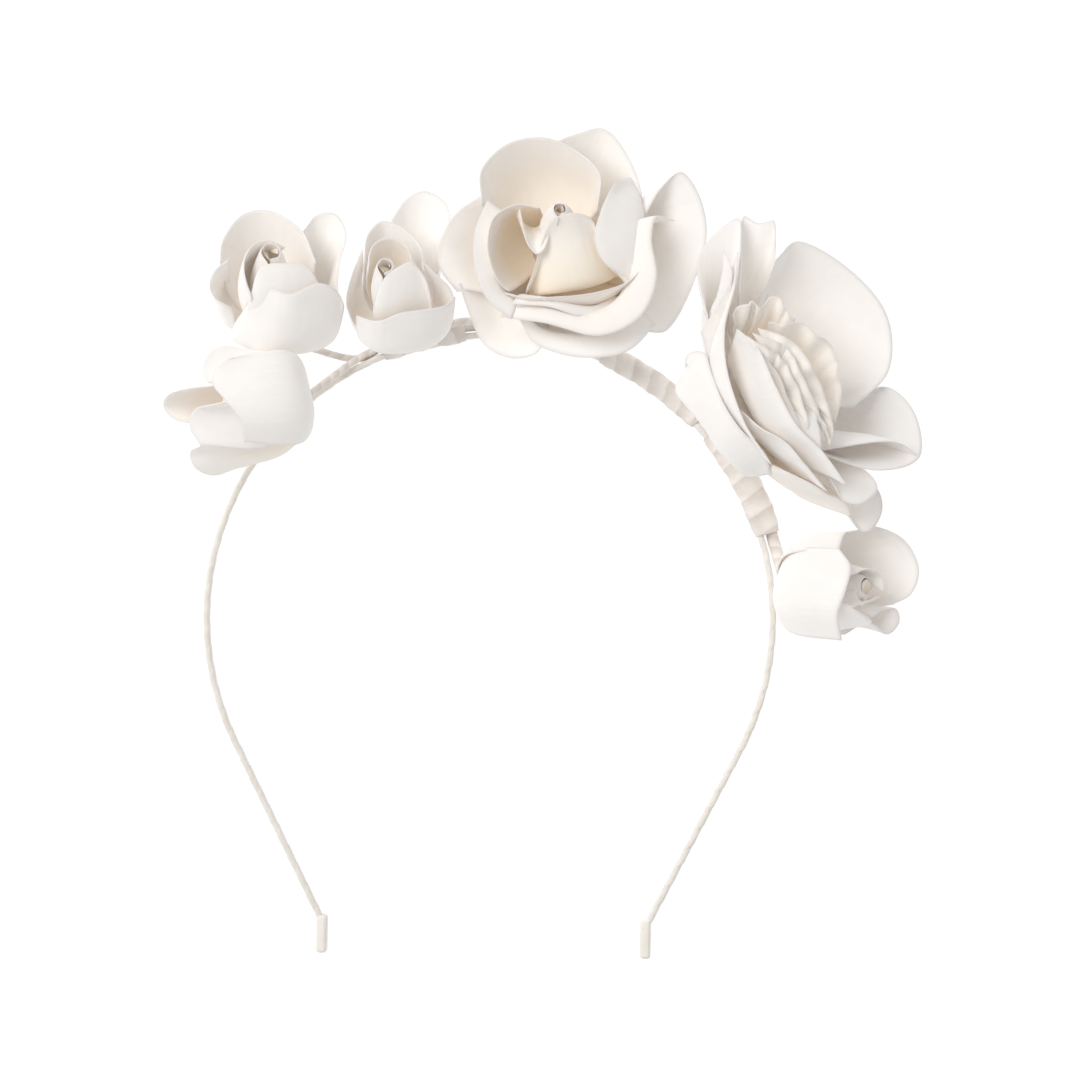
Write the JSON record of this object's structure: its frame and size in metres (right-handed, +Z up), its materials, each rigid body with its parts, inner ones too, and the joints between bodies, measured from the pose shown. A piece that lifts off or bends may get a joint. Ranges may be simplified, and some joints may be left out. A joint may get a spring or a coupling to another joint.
{
  "type": "flower headband",
  "caption": "Horseshoe headband with a ribbon-wrapped band and taped wire stems that carry moulded ivory cloth roses and half-open buds along the crown.",
  "frame": {"origin": "centre of the band's half circle, on the plane that the headband lies on", "axes": "+Y from the tips to the crown, +X to the side of the two large roses' right end, +Z up from the plane it lies on, to the flowers' front"},
  "size_m": [0.1801, 0.198, 0.0432],
  "materials": {
    "petal_cloth": "matte",
    "band_ribbon": "satin",
    "floral_tape": "matte"
  },
  "bodies": {
    "root": {"band": "band_ribbon", "tape_left": "floral_tape", "tape_right_upper": "floral_tape", "tape_right_lower": "floral_tape", "stem_rose_top": "floral_tape", "stem_rose_right": "floral_tape", "stem_bud_low_left": "floral_tape", "stem_bud_upper_left": "floral_tape", "stem_bud_upper_mid": "floral_tape", "stem_bud_low_right": "floral_tape", "rose_top_core": "petal_cloth", "rose_top_centre": "petal_cloth", "rose_top_inner_left": "petal_cloth", "rose_top_inner_right": "petal_cloth", "rose_top_inner_front": "petal_cloth", "rose_top_back": "petal_cloth", "rose_top_left": "petal_cloth", "rose_top_front": "petal_cloth", "rose_top_back_right": "petal_cloth", "rose_top_right_outer": "petal_cloth", "rose_top_left_outer": "petal_cloth", "rose_top_front_outer": "petal_cloth", "rose_top_front_left": "petal_cloth", "rose_right_crumple_a": "petal_cloth", "rose_right_crumple_b": "petal_cloth", "rose_right_inner_left": "petal_cloth", "rose_right_inner_low": "petal_cloth", "rose_right_right_big": "petal_cloth", "rose_right_top": "petal_cloth", "rose_right_top_left": "petal_cloth", "rose_right_left": "petal_cloth", "rose_right_left_outer": "petal_cloth", "rose_right_low": "petal_cloth", "rose_right_low_tip": "petal_cloth", "rose_right_low_right": "petal_cloth", "bud_low_left_core": "petal_cloth", "bud_low_left_upper": "petal_cloth", "bud_low_left_finger": "petal_cloth", "bud_low_left_side": "petal_cloth", "bud_low_left_low": "petal_cloth", "bud_low_left_front": "petal_cloth", "bud_upper_left_core": "petal_cloth", "bud_upper_left_inner_left": "petal_cloth", "bud_upper_left_inner_front": "petal_cloth", "bud_upper_left_back": "petal_cloth", "bud_upper_left_left": "petal_cloth", "bud_upper_left_back_right": "petal_cloth", "bud_upper_left_front": "petal_cloth", "bud_upper_mid_core": "petal_cloth", "bud_upper_mid_back": "petal_cloth", "bud_upper_mid_left": "petal_cloth", "bud_upper_mid_right": "petal_cloth", "bud_upper_mid_back_tall": "petal_cloth", "bud_upper_mid_front": "petal_cloth", "bud_low_right_core": "petal_cloth", "bud_low_right_back": "petal_cloth", "bud_low_right_top": "petal_cloth", "bud_low_right_low": "petal_cloth", "bud_low_right_small": "petal_cloth", "bud_low_right_front": "petal_cloth"}
  },
  "joints": []
}
